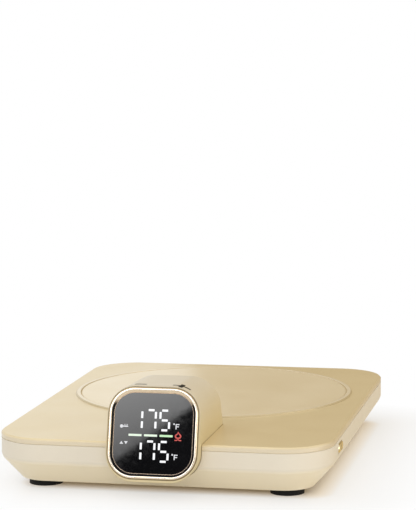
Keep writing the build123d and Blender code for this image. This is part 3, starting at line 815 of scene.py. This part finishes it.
def make_plate_seal():
    """Thin cream seal in the gap between the warming plate and the cover's collar."""
    low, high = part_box("warming_plate")
    middle = (low + high) / 2
    top = high.z - SEAL_SINK * MM
    profile = (
        (SEAL_INNER, top - SEAL_DEPTH * MM), (SEAL_INNER, top - SEAL_CROWN * MM),
        ((SEAL_INNER + SEAL_OUTER) / 2, top),
        (SEAL_OUTER, top - SEAL_CROWN * MM), (SEAL_OUTER, top - SEAL_DEPTH * MM),
    )

    def make(work):
        rings = []
        for step in range(SEAL_STEPS):
            angle = 2 * math.pi * step / SEAL_STEPS
            rings.append([
                work.verts.new((
                    middle.x + radius * MM * math.cos(angle),
                    middle.y + radius * MM * math.sin(angle),
                    level,
                ))
                for radius, level in profile
            ])
        join_rings(work, rings)

    paint = rubber("seal_silicone", colour(214, 196, 156), colour(206, 187, 146))
    piece("plate_seal", make, paint)


# ------------------------------------------------------------------ marks on the pod's roof
PRINT_Y = -71.6
PRINT_WIDTH = 1.45
PRINT_LIFT = 0.02
PRINT_STEPS = 10
MINUS_X = -5.9
MINUS_LENGTH = 4.2
PLUS_X = 8.6
PLUS_LENGTH = 6.2
# Height, above the roof, from which it is looked for.
LOOK_FROM = 62.0


def surface_of(node):
    mesh = nodes[node].data
    return BVHTree.FromPolygons(
        [vertex.co for vertex in mesh.vertices], [tuple(face.vertices) for face in mesh.polygons]
    )


def laid_strip(work, tree, lower_left, lower_right, upper_left):
    """A thin skin over a rectangle of a surface, found by looking straight down on it."""
    grid = []
    for row in range(PRINT_STEPS + 1):
        line = []
        for column in range(PRINT_STEPS + 1):
            start = (
                lower_left
                + (lower_right - lower_left) * column / PRINT_STEPS
                + (upper_left - lower_left) * row / PRINT_STEPS
            )
            hit, normal, index, distance = tree.ray_cast(start, -UP)
            line.append(work.verts.new(hit + normal * (PRINT_LIFT * MM)))
        grid.append(line)
    for row in range(PRINT_STEPS):
        for column in range(PRINT_STEPS):
            work.faces.new((
                grid[row][column], grid[row][column + 1],
                grid[row + 1][column + 1], grid[row + 1][column],
            ))


def make_touch_marks():
    """Printed minus and plus on the pod's roof."""
    tree = surface_of("pod_housing")
    ink = printed("mark_ink", colour(12, 11, 10), colour(20, 18, 16))

    def bar(middle_x, width, depth):
        def make(work):
            low_x = (middle_x - width / 2) * MM
            high_x = (middle_x + width / 2) * MM
            low_y = (PRINT_Y - depth / 2) * MM
            high_y = (PRINT_Y + depth / 2) * MM
            level = LOOK_FROM * MM
            laid_strip(work, tree, Vector((low_x, low_y, level)), Vector((high_x, low_y, level)),
                       Vector((low_x, high_y, level)))
        return make

    piece("minus_mark", bar(MINUS_X, MINUS_LENGTH, PRINT_WIDTH), ink)
    piece("plus_mark_across", bar(PLUS_X, PLUS_LENGTH, PRINT_WIDTH), ink)
    piece("plus_mark_deep", bar(PLUS_X, PRINT_WIDTH, PLUS_LENGTH), ink)


# ------------------------------------------------------------------ symbol on the key
ICON_RADIUS = 0.9
ICON_LINE = 0.3
ICON_PROUD = 0.003
ICON_STEPS = 28
# Half of the ring's opening. The upright line starts this far above the symbol's middle, and
# ends this far past the ring's radius.
ICON_OPENING = math.radians(38)
ICON_LINE_FROM = 0.15
ICON_LINE_PAST = 0.2


def make_key_icon():
    """A round power symbol: an open ring with a short upright line, on the key's outer face."""
    low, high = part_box("power_key")
    middle_y = (low.y + high.y) / 2
    middle_z = (low.z + high.z) / 2
    face_x = high.x + ICON_PROUD * MM
    half = ICON_LINE / 2

    def make(work):
        rows = []
        for step in range(ICON_STEPS + 1):
            turned = (2 * math.pi - 2 * ICON_OPENING) * step / ICON_STEPS
            angle = math.pi / 2 + ICON_OPENING + turned
            rows.append([
                work.verts.new((
                    face_x,
                    middle_y + radius * MM * math.cos(angle),
                    middle_z + radius * MM * math.sin(angle),
                ))
                for radius in (ICON_RADIUS - half, ICON_RADIUS + half)
            ])
        for first, second in zip(rows, rows[1:]):
            work.faces.new((first[0], first[1], second[1], second[0]))
        low_z = middle_z + ICON_LINE_FROM * MM
        high_z = middle_z + (ICON_RADIUS + ICON_LINE_PAST) * MM
        work.faces.new([
            work.verts.new((face_x, y, z))
            for y, z in (
                (middle_y - half * MM, low_z), (middle_y + half * MM, low_z),
                (middle_y + half * MM, high_z), (middle_y - half * MM, high_z),
            )
        ])

    ink = printed("key_ink", colour(96, 80, 50), colour(112, 95, 62))
    piece("power_symbol", make, ink, body="power_key")


# ------------------------------------------------------------------ floor
# Half of the floor's side, in metres, like all that follows for the floor.
FLOOR_REACH = 8.0
FLOOR_PAPER = colour(250, 250, 250)
FLOOR_PAPER_SHADE = colour(249, 249, 248)
FLOOR_ROUGHNESS = 0.26
# The floor's own light grows away from a rectangle, which lies inside the outline of the case
# and a little to the right and to the front of its middle, in a steep ramp and a gentle one.
FLOOR_INSET = Vector((0.0134, 0.019, 0.0))
FLOOR_SHIFT = Vector((0.0036, -0.003, 0.0))
FLOOR_LIGHT = 0.14
FLOOR_NEAR = (0.001, 0.011)
FLOOR_NEAR_LIGHT = 0.58
FLOOR_FAR = (0.011, 0.045)
FLOOR_WARM = (1.0, 0.68, 0.32, 1.0)
FLOOR_WARM_END = 0.010
# Light under the object, full from a little inside this inset of the case's outline.
FLOOR_DEEP = Vector((0.006, 0.006, 0.0))
FLOOR_DEEP_FADE = (-0.004, 0.0)
FLOOR_DEEP_LIGHT = 0.85


def background_rays(tree):
    """One for rays that look at the background, straight, in a reflection or through glass."""
    path = tree.nodes.new("ShaderNodeLightPath")
    value = path.outputs["Is Camera Ray"]
    for kind in ("Is Glossy Ray", "Is Transmission Ray"):
        either = tree.nodes.new("ShaderNodeMath")
        either.operation = "MAXIMUM"
        tree.links.new(value, either.inputs[0])
        tree.links.new(path.outputs[kind], either.inputs[1])
        value = either.outputs["Value"]
    return value


def past_rectangle(look, middle, half):
    """How far a place on the floor lies past the sides of a rectangle, along X and along Y."""
    centred = look.combine_vectors("SUBTRACT", look.place, (middle.x, middle.y, 0.0))
    sides = look.combine_vectors("ABSOLUTE", centred)
    return look.combine_vectors("SUBTRACT", sides, (half.x, half.y, 0.0))


def faded_floor(look, middle, half):
    """Paper near the object, turning into plain white for rays that look at the floor."""
    beyond = past_rectangle(look, middle + FLOOR_SHIFT, half - FLOOR_INSET)
    outside = look.combine_vectors("MAXIMUM", beyond, (0.0, 0.0, 0.0))
    distance = look.combine_vectors("LENGTH", outside, result="Value")
    near = look.spread(distance, FLOOR_LIGHT, FLOOR_NEAR_LIGHT, *FLOOR_NEAR)
    rest = look.spread(distance, 0.0, 1.0 - FLOOR_NEAR_LIGHT, *FLOOR_FAR)
    seen = look.combine("MULTIPLY", look.combine("ADD", near, rest), background_rays(look.tree))
    # Light that the cream underside throws back warms the floor close to it.
    cooled = look.spread(distance, 0.0, 1.0, 0.0, FLOOR_WARM_END)
    own_light = look.glow(look.blend(cooled, FLOOR_WARM, WHITE), 1.0)
    return look.fade(seen, look.shader.outputs["BSDF"], own_light)


def lit_underside(look, middle, half, surface):
    """Light of the floor under the object, for the first diffuse rays alone.

    Without it the underside is black in a view from below.
    """
    sides = look.parts(past_rectangle(look, middle, half - FLOOR_DEEP))
    nearest = look.combine("MAXIMUM", sides["X"], sides["Y"])
    deep = look.spread(nearest, FLOOR_DEEP_LIGHT, 0.0, *FLOOR_DEEP_FADE)
    path = look.add("ShaderNodeLightPath").outputs
    first_depth, tolerance = 1.0, 0.5
    first = look.combine("COMPARE", path["Ray Depth"], first_depth, tolerance)
    thrown = look.combine("MULTIPLY", first, path["Is Diffuse Ray"])
    return look.fade(look.combine("MULTIPLY", deep, thrown), surface, look.glow(WHITE, 1.0))


def make_floor():
    """Pale floor that turns plain white away from the object and hides nothing from below."""
    def grid(work):
        bmesh.ops.create_grid(work, x_segments=1, y_segments=1, size=FLOOR_REACH)

    floor = mesh_object("floor", grid)
    look = Finish("floor_paper")
    look.material.cycles.emission_sampling = "NONE"
    paper = look.clouds(FLOOR_PAPER, FLOOR_PAPER_SHADE, scale=14.0, detail=1.0)
    look.set(Base_Color=paper, Roughness=FLOOR_ROUGHNESS, Specular_IOR_Level=0.5)
    low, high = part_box("lower_case")
    middle = (low + high) / 2
    half = (high - low) / 2
    surface = lit_underside(look, middle, half, faded_floor(look, middle, half))
    look.show(look.clear_behind(surface))
    floor.data.materials.append(look.material)


# ------------------------------------------------------------------ background and cards
WORLD_TINT = (1.0, 0.99, 0.97, 1.0)
WORLD_LEVEL = 0.74

# Black card and lit card, one behind the other where the display mirrors the camera's view.
CARD_DISTANCE = 420.0
CARD_STEP = 5
CARD_REACH = 90.0
CARD_SLOPE = 0.87
CARD_LEVEL = 4.4
CARD_FAR_LEVEL = 0.6
# Half of the stretch over which the lit card's light falls off.
CARD_GRADIENT = 30.0
# Steps to the right for each step down, in the direction in which a card's light falls off.
CARD_FALL = 0.35

WARM_CARD_PLACE = Vector((-60.0, 260.0, 0.0))
WARM_CARD_SIZE = (500.0, 300.0)
WARM_CARD_TINT = colour(190, 165, 118)
WARM_CARD_LEVEL = 0.8
FLOOR_CARD_PLACE = Vector((62.0, -60.0, 0.3))
FLOOR_CARD_SIZE = (300.0, 400.0)
FLOOR_CARD_TINT = colour(204, 180, 134)
FLOOR_CARD_LEVEL = 1.0


def make_world():
    """White where it is looked at, and a softer level as light."""
    world = bpy.data.worlds.new("studio")
    bpy.context.scene.world = world
    world.use_nodes = True
    tree = world.node_tree
    tree.nodes.clear()
    mixed = tree.nodes.new("ShaderNodeMixShader")
    tree.links.new(background_rays(tree), mixed.inputs["Fac"])
    for socket, tint, level in ((1, WORLD_TINT, WORLD_LEVEL), (2, WHITE, 1.0)):
        background = tree.nodes.new("ShaderNodeBackground")
        background.inputs["Color"].default_value = tint
        background.inputs["Strength"].default_value = level
        tree.links.new(background.outputs["Background"], mixed.inputs[socket])
    output = tree.nodes.new("ShaderNodeOutputWorld")
    tree.links.new(mixed.outputs["Shader"], output.inputs["Surface"])


def rectangle(left, bottom, right, top):
    return [(left, bottom), (right, bottom), (right, top), (left, top)]


def card(name, middle, right, up, corners, tint, level, far_level=None, one_sided=False):
    """A flat card that only polished surfaces see, from its corners to the right and up.

    With a second level its light falls off from its upper left corner to its lower right one.
    A one-sided card is clear from behind.
    """
    def sheet(work):
        work.faces.new([work.verts.new((middle + right * x + up * y) * MM) for x, y in corners])

    made = mesh_object(name, sheet)
    look = Finish(name + "_face")
    if far_level is not None:
        away = (right * CARD_FALL - up).normalized()
        start = (middle * MM).dot(away)
        along = look.combine_vectors("DOT_PRODUCT", look.place, away, result="Value")
        level = look.spread(along, level, far_level,
                            start - CARD_GRADIENT * MM, start + CARD_GRADIENT * MM)
    surface = look.glow(tint, level)
    look.show(look.clear_behind(surface) if one_sided else surface)
    made.data.materials.append(look.material)
    made.visible_camera = False
    made.visible_diffuse = False
    made.visible_transmission = False
    made.visible_shadow = False


def make_cards():
    """Reflections: a black card with a lit half for the display, and two warm ones.

    The warm ones stand behind the cover and lie on the floor at its right.
    """
    glass = FACE_CENTRE - FACE_OUT * WINDOW_RECESS
    towards_camera = (CAMERA_TARGET + camera_back() * CAMERA_DISTANCE - glass).normalized()
    mirrored = (FACE_OUT * (2 * towards_camera.dot(FACE_OUT)) - towards_camera).normalized()
    right = UP.cross(mirrored).normalized()
    up = mirrored.cross(right)
    black_at = glass + mirrored * CARD_DISTANCE
    lit_at = glass + mirrored * (CARD_DISTANCE - CARD_STEP)
    reach = CARD_REACH
    tall = CARD_SLOPE * reach
    card("black_card", black_at, right, up, rectangle(-reach, -reach, reach, reach), WHITE, 0.0)
    card("lit_card", lit_at, right, up,
         [(-reach, -tall), (reach, tall), (reach, reach), (-reach, reach)], WHITE,
         CARD_LEVEL, CARD_FAR_LEVEL)
    card("warm_card", WARM_CARD_PLACE, FACE_RIGHT, UP, rectangle(0, 0, *WARM_CARD_SIZE),
         WARM_CARD_TINT, WARM_CARD_LEVEL)
    card("floor_card", FLOOR_CARD_PLACE, FACE_RIGHT, Vector((0, 1, 0)),
         rectangle(0, 0, *FLOOR_CARD_SIZE), FLOOR_CARD_TINT, FLOOR_CARD_LEVEL, one_sided=True)


# ------------------------------------------------------------------ lamps
LAMP_AIM = Vector((0.0, 0.0, 0.02))
SIDE_TINT = (1.0, 0.83, 0.56)


def softbox(name, place, width, height, power, tint=(1.0, 1.0, 1.0), seen_in_gloss=True):
    """A large soft lamp that looks at the object and that the camera doesn't see."""
    data = bpy.data.lights.new(name, "AREA")
    data.shape = "RECTANGLE"
    data.size = width
    data.size_y = height
    data.energy = power
    data.color = tint
    lamp = bpy.data.objects.new(name, data)
    bpy.context.scene.collection.objects.link(lamp)
    lamp.location = place
    lamp.rotation_mode = "QUATERNION"
    lamp.rotation_quaternion = (LAMP_AIM - Vector(place)).to_track_quat("-Z", "Y")
    lamp.visible_camera = False
    lamp.visible_glossy = seen_in_gloss


def make_lights():
    """A broad lamp in front, one above at the back left, and a small warm one at the right."""
    softbox("key_light", place=(0.05, -1.2, 0.65), width=1.6, height=1.0, power=4.8,
            seen_in_gloss=False)
    softbox("top_light", place=(-0.35, 0.35, 1.3), width=1.3, height=1.2, power=2.5)
    softbox("side_light", place=(0.95, -0.2, 0.16), width=0.7, height=0.3, power=1.5,
            tint=SIDE_TINT)


bpy.context.scene.view_settings.view_transform = "Standard"
dress_nodes()
make_camera()
make_trim()
make_slope()
make_bezel_gap()
make_display()
make_plate_seal()
make_touch_marks()
make_key_icon()
make_floor()
make_world()
make_cards()
make_lights()
